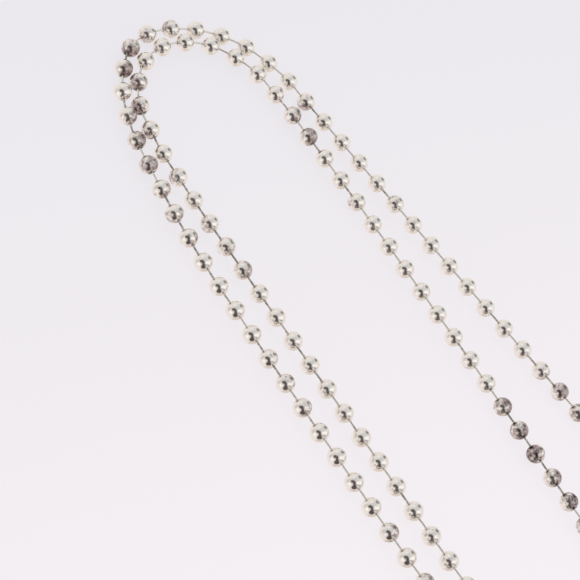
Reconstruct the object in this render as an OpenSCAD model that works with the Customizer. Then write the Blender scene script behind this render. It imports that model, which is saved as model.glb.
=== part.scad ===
// Ball chain necklace, laid down folded double on a flat surface. All lengths are in mm.
// Z = 0 is the surface, and the origin is the middle of the area that the chain covers.

/* [Balls] */
// Outside diameter of a ball
ball_d = 3; // [2.9:0.05:3.05]
// Thickness of a ball's wall
ball_wall = 0.3; // [0.2:0.05:0.35]
// Diameter of the two holes where the links enter a ball
hole_d = 0.7; // [0.68:0.01:0.72]

/* [Links] */
// Distance between the centres of two neighbouring balls
pitch = 4.5; // [4.4:0.05:4.7]
// Diameter of a link's wire
wire_d = 0.33; // [0.25:0.01:0.35]
// Diameter of the round head that keeps each end of a link inside its ball
head_d = 0.76; // [0.74:0.01:0.78]
// Distance from the centre of a ball to the centre of a head inside it, where the chain is straight
head_seat = 0.55; // [0.54:0.01:0.6]

/* [Clasp] */
// Distance between the centres of the two end balls that the clasp holds
clasp_span = 5.4; // [5:0.1:6]
// Thickness of the sleeve's wall
clasp_wall = 0.35; // [0.3:0.05:0.4]
// Gap between an end ball and the inside of the sleeve
clasp_gap = 0.15; // [0.12:0.01:0.2]
// Diameter of the hole in each end of the sleeve, where the chain comes out
clasp_hole_d = 0.9; // [0.8:0.05:1]

/* [Hidden] */
$fn = 48;

silver = [0.86, 0.84, 0.80];
wire_silver = [0.70, 0.68, 0.62];

// The way that the chain lies, from the first ball out of the clasp round to the clasp again.
// A row is a section: how many links it has, and how far it turns in all, in degrees to the left.
LINKS = 0;
TURN = 1;
start_heading = 184;
sections = [
    [18, -1],   // outer strand, running to the fold
    [2, 19],    // outer strand, into the fold
    [2, 28],
    [2, 28],
    [2, 48],    // outer strand, the tightest part of the fold
    [2, 26],
    [2, 15],
    [2, 2],     // outer strand, out of the fold
    [4, 7],
    [11, 1],    // outer strand, running back from the fold
    [4, -38],   // near loop, opening out
    [1, 16],
    [9, 224],   // near loop, round the end
    [1, 16],
    [2, -38],   // near loop, closing in
    [15, 0],    // inner strand, running to the fold
    [3, -3],
    [2, -11],   // inner strand, into the fold
    [2, -37],
    [2, -48],   // inner strand, the tightest part of the fold
    [2, -43],
    [2, -31],
    [2, -6],    // inner strand, out of the fold
    [3, -1],
    [14, -2],   // inner strand, running back from the fold
    [2, -15],   // far loop, opening out
    [1, 17],
    [7, 186],   // far loop, round the end
    [1, 17],
    [1, -16],   // far loop, straightening into the clasp
];

// Turn before each link, and the heading that each link then lies on
turn = [for (s = sections) for (k = [1 : s[LINKS]]) s[TURN] / s[LINKS]];
last = len(turn);
heading = [for (i = [0 : last - 1]) heading_of(i)];

// Centres of the balls as the headings lay them, and the small gap that this leaves at the clasp
laid = [for (i = [0 : last]) place_of(i)];
gap = laid[last] + clasp_span * along(heading[last - 1]) - laid[0];

// Centres with that gap shared out along the whole chain, and moved so that the origin is central
closed = [for (i = [0 : last]) laid[i] - gap * i / last];
middle = [for (a = [0, 1]) let (v = [for (p = closed) p[a]]) (min(v) + max(v)) / 2];
centre = [for (p = closed) p - middle];

// Each ball is drilled along the middle line between its two links. Where the bend changes, it
// leans a little away from the links beyond them, which keeps the wires clear of the holes' edges.
step = [for (i = [0 : last - 1]) unit(centre[i + 1] - centre[i])];
lean = 1 / 6;
drill = [for (i = [0 : last]) unit(way(i - 1) + way(i) - lean * (way(i - 2) + way(i + 1)))];

ball_r = ball_d / 2;
hole_at = ball_r - ball_wall / 2;
link_l = pitch - 2 * head_seat;
sleeve_r = ball_r + clasp_gap + clasp_wall;

function along(a) = [cos(a), sin(a)];
function unit(v) = v / norm(v);
function bearing(v) = atan2(v[1], v[0]);
function way(i) = step[min(max(i, 0), last - 1)];
function heading_of(i) = i < 0 ? start_heading : heading_of(i - 1) + turn[i];
function place_of(i) = i == 0 ? [0, 0] : place_of(i - 1) + pitch * along(heading[i - 1]);

// A hollow ball, drilled right through along X
module ball() {
    rotate([0, 90, 0])
        rotate_extrude()
            difference() {
                circle(d = ball_d);
                circle(d = ball_d - 2 * ball_wall);
                translate([hole_d / 2 - ball_d, -ball_d]) square([ball_d, 2 * ball_d]);
            }
}

// A wire along X with a round head at each end
module link() {
    rotate([0, 90, 0])
        rotate_extrude()
            difference() {
                union() {
                    square([wire_d, link_l], center = true);
                    for (end = [-1, 1]) translate([0, end * link_l / 2]) circle(d = head_d);
                }
                translate([-pitch, -pitch]) square([pitch, 2 * pitch]);
            }
}

// A cylinder with round ends, as long as the clasp's span between the centres of its ends
module capsule(r) {
    rotate([0, 90, 0]) cylinder(r = r, h = clasp_span, center = true);
    for (end = [-1, 1]) translate([end * clasp_span / 2, 0, 0]) sphere(r = r);
}

// The hollow balls of the whole chain
module balls() {
    color(silver)
        for (i = [0 : last])
            translate([centre[i][0], centre[i][1], ball_r])
                rotate([0, 0, bearing(drill[i])])
                    ball();
}

// The wire links, each with a head inside either ball
module links() {
    color(wire_silver)
        for (i = [0 : last - 1]) {
            a = centre[i] + hole_at * drill[i];
            b = centre[i + 1] - hole_at * drill[i + 1];
            translate([(a[0] + b[0]) / 2, (a[1] + b[1]) / 2, ball_r])
                rotate([0, 0, bearing(b - a)])
                    link();
        }
}

// Plain sleeve round the two end balls, open along the side that lies on the surface
module clasp() {
    mid = (centre[0] + centre[last]) / 2;
    color(silver)
        translate([mid[0], mid[1], ball_r])
            rotate([0, 0, bearing(centre[0] - centre[last])])
                difference() {
                    capsule(sleeve_r);
                    capsule(ball_r + clasp_gap);
                    rotate([0, 90, 0])
                        cylinder(d = clasp_hole_d, h = 2 * clasp_span + 2 * sleeve_r, center = true);
                    translate([-clasp_span - sleeve_r, -sleeve_r, -ball_r - sleeve_r])
                        cube([2 * (clasp_span + sleeve_r), 2 * sleeve_r, sleeve_r]);
                }
}

balls();
links();
clasp();
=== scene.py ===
import math
import random
import bmesh
import bpy
from mathutils import Matrix, Vector


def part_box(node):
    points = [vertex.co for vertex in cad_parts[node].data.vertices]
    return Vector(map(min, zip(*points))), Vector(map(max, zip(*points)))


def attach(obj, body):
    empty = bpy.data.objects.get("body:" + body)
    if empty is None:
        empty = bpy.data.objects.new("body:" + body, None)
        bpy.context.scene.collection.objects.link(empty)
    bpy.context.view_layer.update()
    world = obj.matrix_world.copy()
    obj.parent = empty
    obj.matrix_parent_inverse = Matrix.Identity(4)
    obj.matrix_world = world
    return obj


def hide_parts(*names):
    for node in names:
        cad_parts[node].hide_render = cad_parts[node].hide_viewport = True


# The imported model: balls, links and clasp, all on the one body "root". Everything here is in metres.
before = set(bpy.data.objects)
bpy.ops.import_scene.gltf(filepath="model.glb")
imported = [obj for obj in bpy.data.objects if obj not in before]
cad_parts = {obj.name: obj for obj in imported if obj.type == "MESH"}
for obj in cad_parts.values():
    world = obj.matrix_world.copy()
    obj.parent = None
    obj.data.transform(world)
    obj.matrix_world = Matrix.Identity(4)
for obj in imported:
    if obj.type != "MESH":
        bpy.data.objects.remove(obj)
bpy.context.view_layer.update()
scene = bpy.context.scene
mm = 0.001
tiny = 1e-9     # anything nearer to an axis than this is on it
print("frame loaded:", sorted(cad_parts))


def addObject(name, data):
    added = bpy.data.objects.new(name, data)
    scene.collection.objects.link(added)
    return added


def addMaterial(name):
    # A material without any nodes yet
    material = bpy.data.materials.new(name)
    material.use_nodes = True
    material.node_tree.nodes.clear()
    return material


def addNode(tree, kind, inputs=None, **settings):
    # inputs holds a value or another node's output socket for each input, by name or number
    node = tree.nodes.new(kind)
    for name, value in settings.items():
        setattr(node, name, value)
    for key, value in (inputs or {}).items():
        if isinstance(value, bpy.types.NodeSocket):
            tree.links.new(value, node.inputs[key])
        else:
            node.inputs[key].default_value = value
    return node


def addValues(mesh, name, values):
    # One number for each point of a mesh, which its material or a node tree can read
    mesh.attributes.new(name, "FLOAT", "POINT").data.foreach_set("value", values)


def pointAt(azimuth, elevation):
    # azimuth 0 is in front, on the -Y side, and grows towards +X
    around, up = math.radians(azimuth), math.radians(elevation)
    return Vector((math.sin(around) * math.cos(up), -math.cos(around) * math.cos(up), math.sin(up)))


# Camera, at the photograph's angle, close over the fold with a long lens
camera = {
    "lookAt": Vector((-16.13, -5.11, 1.5)) * mm,
    "azimuth": 14.0,
    "elevation": 52.3,
    "roll": 40.9,
    "distance": 286.4 * mm,
    "lens": 115.06,
    "sensor": 36.0,
    "nearest": 10 * mm,
    "farthest": 10.0,
}


def makeCamera():
    back = pointAt(camera["azimuth"], camera["elevation"])
    data = bpy.data.cameras.new("photoCamera")
    data.lens = camera["lens"]
    data.sensor_width = camera["sensor"]
    data.clip_start = camera["nearest"]
    data.clip_end = camera["farthest"]
    photoCamera = addObject("photoCamera", data)
    photoCamera.rotation_mode = "QUATERNION"
    level = (-back).to_track_quat("-Z", "Y")
    turned = Matrix.Rotation(math.radians(camera["roll"]), 3, "Z").to_quaternion()
    photoCamera.rotation_quaternion = level @ turned
    photoCamera.location = camera["lookAt"] + back * camera["distance"]
    scene.camera = photoCamera


makeCamera()
print("camera placed")


# The way that the chain lies, from the first ball out of the clasp round to the clasp again.
# Each section has how many links it has, and how far it turns in all, in degrees to the left.
chain = {
    "pitch": 4.5 * mm,
    "claspSpan": 5.4 * mm,
    "startHeading": 184,
    "lean": 1 / 6,      # how far each ball leans away from the links beyond its own two
    "sections": [
        # Outer strand: to the fold, round it and back
        (18, -1),
        (2, 19), (2, 28), (2, 28), (2, 48), (2, 26), (2, 15), (2, 2),
        (4, 7), (11, 1),
        # Near loop
        (4, -38), (1, 16), (9, 224), (1, 16), (2, -38),
        # Inner strand: to the fold, round it and back
        (15, 0),
        (3, -3), (2, -11), (2, -37), (2, -48), (2, -43), (2, -31), (2, -6),
        (3, -1), (14, -2),
        # Far loop, into the clasp
        (2, -15), (1, 17), (7, 186), (1, 17), (1, -16),
    ],
}
ballBoxLow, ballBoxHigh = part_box("balls")
ballRadius = (ballBoxHigh.z - ballBoxLow.z) / 2
ballLevel = ballBoxLow.z + ballRadius


def headingVector(degrees):
    return Vector((math.cos(math.radians(degrees)), math.sin(math.radians(degrees))))


def layChain():
    # Ball centres in the plane, and the direction that each ball is drilled in
    turns = [turn / links for links, turn in chain["sections"] for _ in range(links)]
    last = len(turns)
    heading = chain["startHeading"]
    laid = [Vector((0, 0))]
    for turn in turns:
        heading += turn
        laid.append(laid[-1] + chain["pitch"] * headingVector(heading))
    # The small gap that this leaves at the clasp is shared out along the whole chain
    gap = laid[last] + chain["claspSpan"] * headingVector(heading) - laid[0]
    closed = [place - gap * i / last for i, place in enumerate(laid)]
    middle = Vector([(min(p[a] for p in closed) + max(p[a] for p in closed)) / 2 for a in (0, 1)])
    boxMiddle = (ballBoxLow + ballBoxHigh).xy / 2
    centres = [p - middle + boxMiddle for p in closed]
    steps = [(b - a).normalized() for a, b in zip(centres, centres[1:])]

    def way(i):
        return steps[min(max(i, 0), last - 1)]

    drills = []
    for i in range(last + 1):
        beyond = way(i - 2) + way(i + 1)
        drills.append((way(i - 1) + way(i) - chain["lean"] * beyond).normalized())
    return centres, drills


centres, drills = layChain()
print("route laid:", len(centres), "balls, ball radius", round(ballRadius / mm, 3), "mm")


def revolve(name, profile, sides, closed):
    # Turns a profile of (along X, distance from X) round the X axis. An open profile ends on the axis.
    form = bmesh.new()
    angles = [2 * math.pi * k / sides for k in range(sides)]
    rings = []
    for along, out in profile:
        if out < tiny:
            rings.append([form.verts.new((along, 0, 0))] * sides)
        else:
            rings.append([form.verts.new((along, out * math.cos(a), out * math.sin(a))) for a in angles])
    pairs = list(zip(rings, rings[1:])) + ([(rings[-1], rings[0])] if closed else [])
    for here, there in pairs:
        for k in range(sides):
            n = (k + 1) % sides
            corners = []    # three of them beside the axis, where two are the same point
            for vertex in (here[k], here[n], there[n], there[k]):
                if vertex not in corners:
                    corners.append(vertex)
            form.faces.new(corners)
    bmesh.ops.recalc_face_normals(form, faces=form.faces)
    mesh = bpy.data.meshes.new(name)
    form.to_mesh(mesh)
    form.free()
    mesh.polygons.foreach_set("use_smooth", [True] * len(mesh.polygons))
    return mesh


def arc(middle, radius, start, end, steps):
    # Points on a circle in the profile's plane, from one angle to another, in degrees
    angles = [math.radians(start + (end - start) * k / steps) for k in range(steps + 1)]
    return [(middle[0] + radius * math.cos(a), middle[1] + radius * math.sin(a)) for a in angles]


def mirrored(profile):
    # The other half of a profile, running on from its end
    return [(-x, r) for x, r in reversed(profile)]


# One hollow ball, drilled through along X, with its edge rolled in at each hole
ball = {
    "wall": 0.3 * mm,
    "hole": 0.27 * mm,      # radius at the narrowest place of the rolled edge
    "lip": 0.12 * mm,       # radius of the rolled edge
    "outerSteps": 16,
    "lipSteps": 3,
    "innerSteps": 5,
    "sides": 24,
}


def makeBall():
    hole, lip = ball["hole"], ball["lip"]
    lipAt = math.sqrt((ballRadius - lip) ** 2 - (hole + lip) ** 2)
    meets = math.degrees(math.atan2(hole + lip, lipAt))
    inner = ballRadius - ball["wall"]
    innerMeets = math.degrees(math.asin(hole / inner))
    right = arc((lipAt, hole + lip), lip, -90, meets, ball["lipSteps"])
    outside = arc((0, 0), ballRadius, meets, 180 - meets, ball["outerSteps"])[1:-1]
    inside = arc((0, 0), inner, 180 - innerMeets, innerMeets, ball["innerSteps"])
    mesh = revolve("ballTemplate", right + outside + mirrored(right) + inside, ball["sides"], closed=True)
    addValues(mesh, "nearHole", [abs(v.co.x) / ballRadius for v in mesh.vertices])
    # The sheet that the ball is rolled from meets itself along the first vertex of every ring
    addValues(mesh, "atSeam", [float(v.index % ball["sides"] == 0) for v in mesh.vertices])
    return mesh


# One wire link along X, with a round head that sits inside the ball at either end
link = {
    "wire": 0.33 * mm,
    "head": 0.76 * mm,
    "seat": 0.55 * mm,      # from a ball's centre to the centre of the head inside it
    "headSteps": 4,
    "wireSteps": 3,
    "sides": 10,
}


def makeLink():
    wire, head = link["wire"] / 2, link["head"] / 2
    reach = chain["pitch"] / 2 - link["seat"]
    shoulder = math.degrees(math.asin(wire / head))
    right = arc((reach, 0), head, 180 - shoulder, 0, link["headSteps"])
    left = mirrored(right)
    start, end = left[-1][0], right[0][0]
    steps = link["wireSteps"]
    wireRings = [(start + (end - start) * k / steps, wire) for k in range(1, steps)]
    return revolve("linkTemplate", left + wireRings + right, link["sides"], closed=False)


def makeRepeatTree():
    # Puts the template on every point, turned about Z by the point's own angle, as one real mesh.
    # Each is also rolled about its own X, by a random angle up to Roll.
    tree = bpy.data.node_groups.new("repeatAlongChain", "GeometryNodeTree")
    face = tree.interface
    face.new_socket("Points", in_out="INPUT", socket_type="NodeSocketGeometry")
    face.new_socket("Template", in_out="INPUT", socket_type="NodeSocketObject")
    face.new_socket("Roll", in_out="INPUT", socket_type="NodeSocketFloat")
    face.new_socket("Seed", in_out="INPUT", socket_type="NodeSocketInt")
    face.new_socket("Finish", in_out="INPUT", socket_type="NodeSocketMaterial")
    face.new_socket("Mesh", in_out="OUTPUT", socket_type="NodeSocketGeometry")
    given = addNode(tree, "NodeGroupInput")
    template = addNode(tree, "GeometryNodeObjectInfo", {"Object": given.outputs["Template"]})
    turn = addNode(tree, "GeometryNodeInputNamedAttribute", {"Name": "turn"}, data_type="FLOAT")
    # Of the random node's sockets, input 3 is the greatest number and output 1 the number drawn
    roll = addNode(tree, "FunctionNodeRandomValue", {
        "Seed": given.outputs["Seed"],
        3: given.outputs["Roll"],
    }, data_type="FLOAT")
    rotation = addNode(tree, "ShaderNodeCombineXYZ", {
        "X": roll.outputs[1],
        "Z": turn.outputs["Attribute"],
    })
    placed = addNode(tree, "GeometryNodeInstanceOnPoints", {
        "Points": given.outputs["Points"],
        "Instance": template.outputs["Geometry"],
        "Rotation": rotation.outputs["Vector"],
    })
    real = addNode(tree, "GeometryNodeRealizeInstances", {"Geometry": placed.outputs["Instances"]})
    painted = addNode(tree, "GeometryNodeSetMaterial", {
        "Geometry": real.outputs["Geometry"],
        "Material": given.outputs["Finish"],
    })
    addNode(tree, "NodeGroupOutput", {"Mesh": painted.outputs["Geometry"]})
    return tree


def repeatAlong(name, templateMesh, tree, places, turns, finish, seed, extra):
    # places are points in space. extra holds more numbers for each point, such as how tarnished it is.
    points = bpy.data.meshes.new(name + "Points")
    points.from_pydata(places, [], [])
    for key, values in {"turn": turns, **extra}.items():
        addValues(points, key, values)
    template = addObject(templateMesh.name, templateMesh)
    carrier = addObject(name + "Carrier", points)
    repeat = carrier.modifiers.new("repeat", "NODES")
    repeat.node_group = tree
    sockets = {item.name: item.identifier for item in tree.interface.items_tree if item.in_out == "INPUT"}
    repeat[sockets["Template"]] = template
    repeat[sockets["Roll"]] = 2 * math.pi
    repeat[sockets["Seed"]] = seed
    repeat[sockets["Finish"]] = finish
    bpy.context.view_layer.update()
    evaluated = carrier.evaluated_get(bpy.context.evaluated_depsgraph_get())
    mesh = bpy.data.meshes.new_from_object(evaluated)
    mesh.name = name
    piece = addObject(name, mesh)
    bpy.data.objects.remove(carrier)
    bpy.data.objects.remove(template)
    return piece


# How tarnish lies on any of the silver. The film comes up where broad clouds of noise pass a level, and
# dark spots where fine grain does. Of each pair of levels, the first is for clean silver and the second
# for the most tarnished.
weather = {
    "cloudDetail": 4.0,
    "grainDetail": 3.0,
    "noiseRoughness": 0.6,
    "filmLevels": (0.74, 0.32),
    "filmEdge": 0.24,           # how far above its level the film is full
    "ringReach": (0.78, 0.98),  # where the ring round a hole starts and is full, in radii from the middle
    "ringFilm": 0.20,           # the film on every such ring
    "grainShare": 0.6,          # what the spots take from either noise
    "cloudShare": 0.4,
    "ringSpots": 0.22,          # how much denser the spots lie in the ring
    "leanSpots": 0.5,           # and on the most tarnished side, as a share of the finish's own lean
    "spotLevels": (0.72, 0.48),
    "spotEdge": 0.13,
    "spotStrength": 0.85,
    "spotDepth": 1.5,           # beside the fine unevenness
    "seamStart": 0.92,          # how near to the seam its line starts
    "seamStrength": 0.35,
}


def makeSilver(name, finish):
    # The piece's own numbers film and spots say how tarnished each of its balls or links is. The balls
    # also have nearHole, atSeam and exposed, which say where on its ball each point lies.
    silver = addMaterial(name)
    tree = silver.node_tree

    def reckon(operation, first, second):
        return addNode(tree, "ShaderNodeMath", {0: first, 1: second}, operation=operation).outputs["Value"]

    def plus(first, second):
        return reckon("ADD", first, second)

    def minus(first, second):
        return reckon("SUBTRACT", first, second)

    def times(first, second):
        return reckon("MULTIPLY", first, second)

    def spread(value, low, high, start=0.0, end=1.0, soft=False):
        # Turns the range from low to high into the range from start to end
        return addNode(tree, "ShaderNodeMapRange", {
            "Value": value,
            "From Min": low,
            "From Max": high,
            "To Min": start,
            "To Max": end,
        }, interpolation_type="SMOOTHSTEP" if soft else "LINEAR").outputs["Result"]

    def blend(factor, first, second):
        # One colour over another. Of the mixing node's sockets, 6 and 7 take colours and 2 gives one.
        mixed = addNode(tree, "ShaderNodeMix", {"Factor": factor, 6: first, 7: second}, data_type="RGBA")
        return mixed.outputs[2]

    def noise(place, scale, detail):
        return addNode(tree, "ShaderNodeTexNoise", {
            "Vector": place,
            "Scale": scale,
            "Detail": detail,
            "Roughness": weather["noiseRoughness"],
        }).outputs["Fac"]

    def ownNumber(key):
        return addNode(tree, "ShaderNodeAttribute", attribute_name=key).outputs["Fac"]

    place = addNode(tree, "ShaderNodeTexCoord").outputs["Object"]
    if "stretch" in finish:
        place = addNode(tree, "ShaderNodeMapping", {
            "Vector": place,
            "Rotation": (0, 0, finish["bearing"]),
            "Scale": finish["stretch"],
        }, vector_type="TEXTURE").outputs["Vector"]
    clouds = noise(place, finish["cloudScale"], weather["cloudDetail"])
    grains = noise(place, finish["grainScale"], weather["grainDetail"])
    film = ownNumber("film")
    spots = ownNumber("spots")
    leaning = times(minus(ownNumber("exposed"), 0.5), finish["lean"])
    # The film grows out of the clouds as it spreads, and always lies a little round the holes
    filmLow = minus(spread(film, 0.0, 1.0, *weather["filmLevels"]), times(film, leaning))
    patches = spread(clouds, filmLow, plus(filmLow, weather["filmEdge"]), soft=True)
    holeRing = spread(ownNumber("nearHole"), *weather["ringReach"], soft=True)
    coated = reckon("MAXIMUM", patches, times(holeRing, weather["ringFilm"]))
    # Dark spots are the grain's peaks, most of them near the holes
    mottle = plus(times(grains, weather["grainShare"]), times(clouds, weather["cloudShare"]))
    gathered = plus(times(holeRing, weather["ringSpots"]), times(leaning, weather["leanSpots"]))
    mottle = plus(mottle, times(spots, gathered))
    spotLow = spread(spots, 0.0, 1.0, *weather["spotLevels"])
    spotted = spread(mottle, spotLow, plus(spotLow, weather["spotEdge"]), soft=True)
    seam = spread(ownNumber("atSeam"), weather["seamStart"], 1.0, soft=True)
    seamShade = times(seam, weather["seamStrength"])
    dark = reckon("MAXIMUM", times(spotted, weather["spotStrength"]), seamShade)
    colour = blend(coated, finish["silver"], finish["film"])
    colour = blend(dark, colour, finish["grime"])
    roughness = spread(coated, 0.0, 1.0, finish["roughness"], finish["filmRoughness"])
    height = times(minus(grains, times(spotted, weather["spotDepth"])), finish["dent"])
    height = minus(height, times(seam, finish["seamDent"]))
    uneven = addNode(tree, "ShaderNodeBump", {"Height": height, "Distance": 1.0, "Strength": 1.0})
    shader = addNode(tree, "ShaderNodeBsdfPrincipled", {
        "Base Color": colour,
        "Metallic": 1.0,
        "Roughness": roughness,
        "Specular Tint": finish["edge"],
        "Normal": uneven.outputs["Normal"],
    })
    addNode(tree, "ShaderNodeOutputMaterial", {"Surface": shader.outputs["BSDF"]})
    return silver


# Silver of the balls: white and polished, with a thin purple-brown film and dark spots where it is tarnished
ballFinish = {
    "silver": (0.95, 0.91, 0.86, 1),
    "film": (0.48, 0.395, 0.385, 1),
    "grime": (0.09, 0.072, 0.070, 1),
    "edge": (1, 1, 1, 1),       # tint of what it reflects at a glancing angle
    "roughness": 0.21,
    "filmRoughness": 0.25,
    "cloudScale": 1300.0,       # patches a metre, so each is a little under 1 mm
    "grainScale": 2400.0,
    "lean": 0.45,               # how much more film and spots lie on the most tarnished side
    "dent": 0.0016 * mm,        # depth of the fine unevenness
    "seamDent": 0.008 * mm,     # depth of the seam
    "seed": 3,
}

# Tarnish, ball by ball from the clasp: how far the film covers it, how thick its dark spots are, the side
# that has the most of both, in degrees round the ball as the camera sees it, from the right through the
# top, and how one-sided it is
tarnish = {
    "bright": (0.08, 0.05, 45, 1.0),    # a ball that the chart leaves out
    "unseen": (range(48, 65), range(112, 124), range(0, 2)),    # balls outside the photograph
    "unseenFilm": 0.55,                 # the most film on one of those
    "uneven": 0.05,                     # the most that chance adds to a ball's film and to its spots
    "seed": 11,
    "chart": {
        # Outer strand, to the fold
        2: (1.00, 0.65, 0, 0.5), 3: (0.90, 0.65, 15, 0.7), 4: (0.50, 0.40, 315, 1.5),
        5: (0.20, 0.10, 45, 1.0), 12: (0.50, 0.20, 45, 1.0), 16: (0.40, 0.20, 225, 0.5),
        17: (0.60, 0.40, 240, 1.0),
        # Outer strand, round the fold
        23: (0.55, 0.20, 135, 1.0), 24: (0.60, 0.30, 240, 0.7), 25: (0.90, 0.60, 270, 0.6),
        26: (1.00, 0.60, 330, 1.2), 27: (0.30, 0.20, 330, 1.5), 28: (0.60, 0.40, 345, 1.5),
        29: (0.85, 0.65, 0, 0.8), 30: (0.85, 0.65, 0, 0.3), 31: (0.60, 0.35, 315, 1.0),
        32: (0.65, 0.35, 285, 0.8), 33: (0.60, 0.35, 0, 1.0),
        # Outer strand, back
        38: (0.45, 0.25, 0, 1.0), 39: (0.50, 0.30, 0, 1.0), 40: (0.55, 0.35, 0, 1.0),
        42: (0.30, 0.20, 0, 1.0), 44: (0.30, 0.20, 0, 1.0), 45: (0.65, 0.45, 345, 0.8),
        46: (0.35, 0.25, 0, 1.0), 47: (0.85, 0.50, 0, 0.8),
        # Inner strand, to the fold
        65: (0.30, 0.15, 45, 1.0), 66: (0.40, 0.20, 45, 1.0), 71: (0.35, 0.20, 0, 1.0),
        77: (0.75, 0.45, 0, 0.6), 78: (0.60, 0.35, 0, 0.3), 79: (0.50, 0.30, 225, 1.0),
        # Inner strand, round the fold
        81: (0.55, 0.35, 180, 1.0), 82: (0.30, 0.15, 225, 1.0), 83: (0.60, 0.55, 225, 1.1),
        84: (0.80, 0.65, 225, 1.1), 85: (0.85, 0.60, 255, 0.6), 86: (0.10, 0.05, 45, 1.0),
        # Inner strand, back
        93: (0.65, 0.50, 345, 1.1), 94: (0.90, 0.60, 15, 0.6), 97: (0.40, 0.20, 180, 1.0),
        105: (0.25, 0.20, 0, 1.0), 106: (1.00, 0.85, 45, 0.5), 107: (1.00, 0.90, 330, 0.4),
        108: (1.00, 1.00, 180, 0.5), 109: (0.85, 0.75, 0, 0.9), 110: (0.80, 0.80, 30, 0.9),
        111: (1.00, 0.90, 45, 0.5),
    },
}


def chartTarnish():
    # The film, the spots, the side and how one-sided it is, each for all the balls
    dice = random.Random(tarnish["seed"])
    rows = []
    for i in range(len(centres)):
        film, spots, side, lean = tarnish["chart"].get(i, tarnish["bright"])
        if any(i in stretch for stretch in tarnish["unseen"]):
            film = tarnish["unseenFilm"] * dice.random()
            spots = film / 2
        film += tarnish["uneven"] * dice.random()
        spots += tarnish["uneven"] * dice.random()
        rows.append((film, spots, side, lean))
    return zip(*rows)


def markExposed(piece, places, sides, leans):
    # How near each point of a ball is to its most tarnished side. Halfway round from it the value is 0.5.
    across = scene.camera.rotation_quaternion @ Vector((1, 0, 0))
    upward = scene.camera.rotation_quaternion @ Vector((0, 1, 0))
    facings = [math.cos(math.radians(a)) * across + math.sin(math.radians(a)) * upward for a in sides]
    # The mesh lists the balls one after another, in the order of their places
    perBall = len(piece.data.vertices) // len(places)
    exposed = []
    for vertex in piece.data.vertices:
        which = vertex.index // perBall
        out = (vertex.co - Vector(places[which])).normalized()
        exposed.append(0.5 + 0.5 * leans[which] * out.dot(facings[which]))
    addValues(piece.data, "exposed", exposed)


ballSilver = makeSilver("ballSilver", ballFinish)
repeatTree = makeRepeatTree()
ballPlaces = [(c.x, c.y, ballLevel) for c in centres]
ballTurns = [math.atan2(d.y, d.x) for d in drills]
ballFilm, ballSpots, ballSides, ballLeans = chartTarnish()
balls = repeatAlong("ballString", makeBall(), repeatTree, ballPlaces, ballTurns, ballSilver,
                    ballFinish["seed"], {"film": ballFilm, "spots": ballSpots})
markExposed(balls, ballPlaces, ballSides, ballLeans)
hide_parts("balls")
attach(balls, "root")
print("balls made:", len(balls.data.polygons), "faces")


# Silver of the wire: olive grey and duller than the balls
linkFinish = {
    "silver": (0.87, 0.84, 0.77, 1),
    "film": (0.41, 0.38, 0.335, 1),
    "grime": (0.10, 0.085, 0.07, 1),
    "edge": (0.68, 0.66, 0.60, 1),
    "roughness": 0.26,
    "filmRoughness": 0.40,
    "cloudScale": 1400.0,
    "grainScale": 6000.0,
    "lean": 0.0,
    "dent": 0.0012 * mm,
    "seamDent": 0.0,
    "seed": 5,
}

# Tarnish, link by link: how far the film covers it. The spots go with the film.
linkTarnish = {
    "usual": 0.30,          # a link that the chart leaves out
    "uneven": 0.10,         # the most that chance adds
    "leastSpots": 0.10,
    "spotsForFilm": 0.45,
    "seed": 23,
    "chart": {              # by the ball that the link starts from
        # Outer strand
        3: 0.95, 4: 0.70, 6: 0.60, 7: 0.00, 8: 0.00, 9: 0.00, 10: 0.00, 12: 0.75, 14: 0.10, 16: 0.75,
        17: 0.05, 18: 0.00, 21: 0.15, 22: 0.00, 23: 0.00, 24: 0.00, 25: 1.00, 27: 1.00, 28: 0.75,
        30: 0.60, 31: 1.00, 32: 0.90, 33: 1.00, 34: 0.60, 35: 0.75, 37: 0.75, 38: 1.00, 39: 0.50,
        40: 0.60, 42: 0.60, 43: 0.55, 44: 0.55,
        # Inner strand
        65: 0.35, 66: 0.50, 67: 0.90, 69: 0.00, 70: 0.55, 71: 0.45, 72: 0.85, 73: 0.75, 74: 0.60,
        75: 0.85, 76: 0.85, 77: 1.00, 78: 0.95, 79: 0.95, 80: 1.00, 81: 1.00, 82: 0.95, 85: 0.05,
        86: 0.00, 87: 0.05, 88: 0.05, 89: 0.50, 90: 0.45, 91: 0.05, 92: 0.80, 94: 1.00, 96: 0.95,
        97: 0.40, 102: 0.15, 103: 0.75, 104: 0.15, 105: 0.15, 106: 1.00, 107: 1.00, 108: 0.90,
        109: 1.00,
    },
}


def placeLinks():
    # The middle of each wire and its bearing, between the walls of the two balls that it joins
    entry = ballRadius - ball["wall"] / 2
    places, turns = [], []
    for i in range(len(centres) - 1):
        start = centres[i] + entry * drills[i]
        end = centres[i + 1] - entry * drills[i + 1]
        middle = (start + end) / 2
        places.append((middle.x, middle.y, ballLevel))
        turns.append(math.atan2(end.y - start.y, end.x - start.x))
    return places, turns


def chartLinks():
    dice = random.Random(linkTarnish["seed"])
    film = []
    for i in range(len(linkPlaces)):
        level = linkTarnish["chart"].get(i, linkTarnish["usual"])
        film.append(level + linkTarnish["uneven"] * dice.random())
    spots = [linkTarnish["leastSpots"] + linkTarnish["spotsForFilm"] * level for level in film]
    return film, spots


linkPlaces, linkTurns = placeLinks()
linkFilm, linkSpots = chartLinks()
linkSilver = makeSilver("linkSilver", linkFinish)
links = repeatAlong("linkString", makeLink(), repeatTree, linkPlaces, linkTurns, linkSilver,
                    linkFinish["seed"], {"film": linkFilm, "spots": linkSpots})
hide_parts("links")
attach(links, "root")
print("links made:", len(links.data.polygons), "faces")


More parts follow.
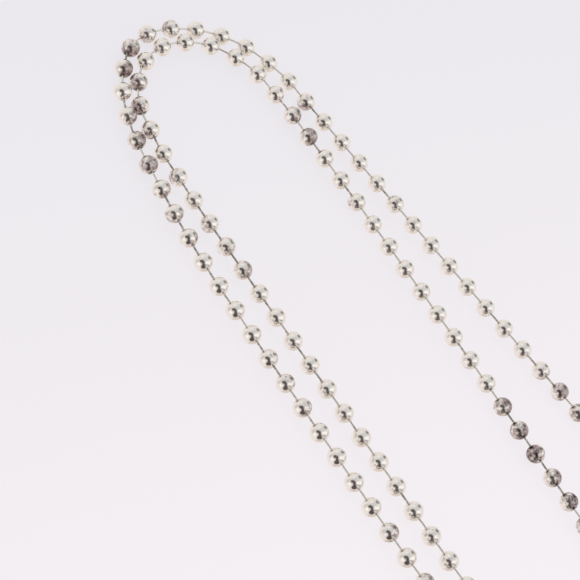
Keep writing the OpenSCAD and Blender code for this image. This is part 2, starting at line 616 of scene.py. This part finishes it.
# Clasp: a sleeve rolled from thin sheet round the two end balls, open below and a little narrower halfway
clasp = {
    "radius": 2.0 * mm,
    "wall": 0.35 * mm,
    "waist": 0.10 * mm,
    "hole": 0.45 * mm,      # radius of the hole in each end
    "edge": 0.06 * mm,      # how far its edges are rounded
    "edgeAngle": 40,        # degrees between two faces, past which their edge is rounded
    "edgeSteps": 3,
    "edgeShape": 0.5,       # a quarter of a circle
    "endSteps": 12,
    "waistSteps": 10,
    "sides": 64,
}
claspFinish = {
    "silver": (0.93, 0.89, 0.84, 1),
    "film": (0.62, 0.53, 0.49, 1),
    "grime": (0.12, 0.095, 0.09, 1),
    "edge": (1, 1, 1, 1),
    "roughness": 0.20,
    "filmRoughness": 0.34,
    "cloudScale": 600.0,
    "grainScale": 4200.0,
    "lean": 0.0,
    "dent": 0.0020 * mm,
    "seamDent": 0.0,
    "stretch": (7.0, 1.0, 1.0),     # brushed along its length
}
claspTarnish = {"film": 0.50, "spots": 0.20}


def claspSide(radius):
    # Half of the sleeve's profile at one face of its wall, from the right hole to the left one
    span = chain["claspSpan"]
    meets = math.degrees(math.asin(clasp["hole"] / radius))
    right = arc((span / 2, 0), radius, meets, 90, clasp["endSteps"])
    between = []
    for k in range(1, clasp["waistSteps"]):
        x = span / 2 - span * k / clasp["waistSteps"]
        between.append((x, radius - clasp["waist"] * math.cos(math.pi * x / span) ** 2))
    return right + between + mirrored(right)


def makeClasp():
    profile = claspSide(clasp["radius"]) + claspSide(clasp["radius"] - clasp["wall"])[::-1]
    mesh = revolve("claspSleeve", profile, clasp["sides"], closed=True)
    form = bmesh.new()
    form.from_mesh(mesh)
    # Opened along the side that lies on the surface, and its wall closed again along the cut
    whole = form.verts[:] + form.edges[:] + form.faces[:]
    bmesh.ops.bisect_plane(form, geom=whole, plane_co=(0, 0, -ballRadius), plane_no=(0, 0, -1),
                           clear_outer=True)
    cut = [edge for edge in form.edges if edge.is_boundary]
    bmesh.ops.triangle_fill(form, edges=cut, use_beauty=True)
    bmesh.ops.recalc_face_normals(form, faces=form.faces)
    limit = math.radians(clasp["edgeAngle"])
    sharp = [edge for edge in form.edges if edge.calc_face_angle(0) > limit]
    bmesh.ops.bevel(form, geom=sharp, offset=clasp["edge"], segments=clasp["edgeSteps"],
                    profile=clasp["edgeShape"], affect="EDGES", clamp_overlap=True)
    middle = (centres[0] + centres[-1]) / 2
    along = centres[0] - centres[-1]
    bearing = math.atan2(along.y, along.x)
    moved = Matrix.Translation((middle.x, middle.y, ballLevel))
    form.transform(moved @ Matrix.Rotation(bearing, 4, "Z"))
    form.to_mesh(mesh)
    form.free()
    mesh.polygons.foreach_set("use_smooth", [True] * len(mesh.polygons))
    for key, level in claspTarnish.items():
        addValues(mesh, key, [level] * len(mesh.vertices))
    mesh.materials.append(makeSilver("claspSilver", {**claspFinish, "bearing": bearing}))
    return addObject("claspSleeve", mesh)


claspSleeve = makeClasp()
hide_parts("clasp")
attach(claspSleeve, "root")
print("clasp made:", len(claspSleeve.data.polygons), "faces")


# Pale lavender-white tabletop. Its glow is painted light, a little warmer to the right where warmer
# light falls, and so even that almost no shadow shows on it.
floor = {
    "size": 3.0,
    "body": (0.12, 0.117, 0.12, 1),
    "roughness": 0.5,
    "leftGlow": (0.704, 0.692, 0.733, 1),
    "rightGlow": (0.812, 0.772, 0.794, 1),
    "from": -80 * mm,
    "to": 50 * mm,
    "tilt": -16,            # degrees between X and the way that the tone changes
}


def makeFloor():
    half = floor["size"] / 2
    corners = [(-half, -half, 0), (half, -half, 0), (half, half, 0), (-half, half, 0)]
    mesh = bpy.data.meshes.new("tabletop")
    mesh.from_pydata(corners, [], [(0, 1, 2, 3)])
    white = addMaterial("tabletopWhite")
    tree = white.node_tree
    place = addNode(tree, "ShaderNodeTexCoord")
    turned = addNode(tree, "ShaderNodeMapping", {
        "Vector": place.outputs["Object"],
        "Rotation": (0, 0, math.radians(-floor["tilt"])),
    })
    across = addNode(tree, "ShaderNodeSeparateXYZ", {"Vector": turned.outputs["Vector"]})
    share = addNode(tree, "ShaderNodeMapRange", {
        "Value": across.outputs["X"],
        "From Min": floor["from"],
        "From Max": floor["to"],
    })
    # The glow is painted light, a little warmer towards the right
    glow = addNode(tree, "ShaderNodeMix", {
        "Factor": share.outputs["Result"],
        6: floor["leftGlow"],
        7: floor["rightGlow"],
    }, data_type="RGBA")
    shader = addNode(tree, "ShaderNodeBsdfPrincipled", {
        "Base Color": floor["body"],
        "Roughness": floor["roughness"],
        "Emission Color": glow.outputs[2],
        "Emission Strength": 1.0,
    })
    addNode(tree, "ShaderNodeOutputMaterial", {"Surface": shader.outputs["BSDF"]})
    mesh.materials.append(white)
    tabletop = addObject("tabletop", mesh)
    tabletop.visible_glossy = False     # so the silver reflects the studio's lower half in its place


# Soft boxes: where they stand round the chain, how wide and high they are, and how bright
softBoxes = {
    "distance": 1.2,
    "colour": (1.0, 0.99, 0.98),
    "boxes": [
        {"name": "keyBox", "azimuth": 95, "elevation": 55, "size": (0.75, 0.60), "radiance": 0.33},
        {"name": "sideBox", "azimuth": 124, "elevation": 33, "size": (0.75, 0.65), "radiance": 0.26},
        {"name": "lowBox", "azimuth": -8, "elevation": -4, "size": (0.62, 0.62), "radiance": 0.24},
        {"name": "rearBox", "azimuth": -103, "elevation": 47, "size": (0.85, 0.75), "radiance": 0.13},
    ],
}


def makeSoftBoxes():
    for box in softBoxes["boxes"]:
        width, height = box["size"]
        lamp = bpy.data.lights.new(box["name"], "AREA")
        lamp.shape = "ELLIPSE"
        lamp.size = width
        lamp.size_y = height
        # A flat lamp's power is its radiance times pi times its area, which is that of an ellipse here
        lamp.energy = box["radiance"] * math.pi * width * height * math.pi / 4
        lamp.color = softBoxes["colour"]
        stand = addObject(box["name"], lamp)
        back = pointAt(box["azimuth"], box["elevation"])
        stand.location = back * softBoxes["distance"]
        stand.rotation_mode = "QUATERNION"
        stand.rotation_quaternion = (-back).to_track_quat("-Z", "Y")


# Flags, which only the silver reflects: the dark arch over the front with its thin tail, a small dark one
# behind, a grey one on the left, and two warm ones below, which are painted shade: the tabletop shaded
# round the foot of each ball, as the silver reflects it. Points are azimuth, elevation and half width in
# degrees, seen from the middle of the chain.
flags = {
    "distance": 900 * mm,
    "roundness": 4,
    "flags": [
        {"name": "archFlag", "colour": (0.080, 0.062, 0.060, 1), "points": [
            (-41, 38, 8), (-28, 39, 16), (-12, 49, 18), (6, 56, 15), (22, 54, 14), (32, 42, 15),
            (40, 27, 15), (45, 11, 23), (49, -3, 25), (54, -20, 18)]},
        {"name": "tailFlag", "colour": (0.36, 0.33, 0.33, 1), "points": [
            (50, 36, 5), (66, 32, 5), (80, 29, 5), (93, 22, 6), (104, 14, 7), (115, 3, 6)]},
        {"name": "backFlag", "colour": (0.23, 0.23, 0.22, 1), "points": [
            (-179, 44, 9), (-178, 27, 15), (-176, 9, 12)]},
        {"name": "leftFlag", "colour": (0.62, 0.58, 0.55, 1), "points": [
            (-50, 20, 10), (-46, -2, 13), (-41, -26, 10)]},
        # These two are painted shade: the darker, warmer tabletop by the foot of each ball, as the silver
        # reflects it
        {"name": "underFlag", "colour": (0.66, 0.575, 0.51, 1), "points": [
            (48, -56, 10), (62, -44, 13), (86, -36, 9)]},
        {"name": "rimFlag", "colour": (0.72, 0.61, 0.52, 1), "points": [
            (133, -43, 8), (124, -56, 11), (116, -68, 11), (98, -81, 8)]},
    ],
}


def makeFlag(name, points, colour):
    # A tube along a smooth route, as thick at each knot as the knot's own radius
    route = bpy.data.curves.new(name, "CURVE")
    route.dimensions = "3D"
    route.bevel_depth = 1.0
    route.bevel_resolution = flags["roundness"]
    route.use_fill_caps = True
    line = route.splines.new("BEZIER")
    line.bezier_points.add(len(points) - 1)
    for knot, (azimuth, elevation, halfWidth) in zip(line.bezier_points, points):
        knot.co = pointAt(azimuth, elevation) * flags["distance"]
        knot.radius = flags["distance"] * math.tan(math.radians(halfWidth))
        knot.handle_left_type = knot.handle_right_type = "AUTO"
    cloth = addMaterial(name + "Cloth")
    glow = addNode(cloth.node_tree, "ShaderNodeEmission", {"Color": colour})
    addNode(cloth.node_tree, "ShaderNodeOutputMaterial", {"Surface": glow.outputs["Emission"]})
    route.materials.append(cloth)
    flag = addObject(name, route)
    flag.visible_camera = False
    flag.visible_diffuse = False
    flag.visible_shadow = False


# Walls and ceiling of a pale studio: greyer overhead, and as pale as the tabletop below it
studio = {
    "shades": [             # height from straight down at 0 to straight up at 1, and the colour there
        (0.0, (0.90, 0.85, 0.86, 1)),
        (0.3, (0.86, 0.81, 0.79, 1)),
        (0.5, (0.87, 0.84, 0.82, 1)),
        (0.85, (0.73, 0.72, 0.71, 1)),
        (1.0, (0.62, 0.63, 0.65, 1)),
    ],
    "strength": 1.0,
}


def makeStudio():
    world = bpy.data.worlds.new("studio")
    scene.world = world
    world.use_nodes = True
    tree = world.node_tree
    tree.nodes.clear()
    place = addNode(tree, "ShaderNodeTexCoord")
    height = addNode(tree, "ShaderNodeSeparateXYZ", {"Vector": place.outputs["Generated"]})
    share = addNode(tree, "ShaderNodeMapRange", {
        "Value": height.outputs["Z"],
        "From Min": -1.0,
        "From Max": 1.0,
    })
    shade = addNode(tree, "ShaderNodeValToRGB", {"Fac": share.outputs["Result"]})
    ramp = shade.color_ramp
    ramp.interpolation = "EASE"
    ramp.elements.remove(ramp.elements[1])
    ramp.elements[0].position, ramp.elements[0].color = studio["shades"][0]
    for position, colour in studio["shades"][1:]:
        ramp.elements.new(position).color = colour
    back = addNode(tree, "ShaderNodeBackground", {
        "Color": shade.outputs["Color"],
        "Strength": studio["strength"],
    })
    addNode(tree, "ShaderNodeOutputWorld", {"Surface": back.outputs["Background"]})
    scene.view_settings.view_transform = "Standard"     # keeps the pale tones pale


makeFloor()
makeSoftBoxes()
for flag in flags["flags"]:
    makeFlag(flag["name"], flag["points"], flag["colour"])
makeStudio()
print("floor and light made")
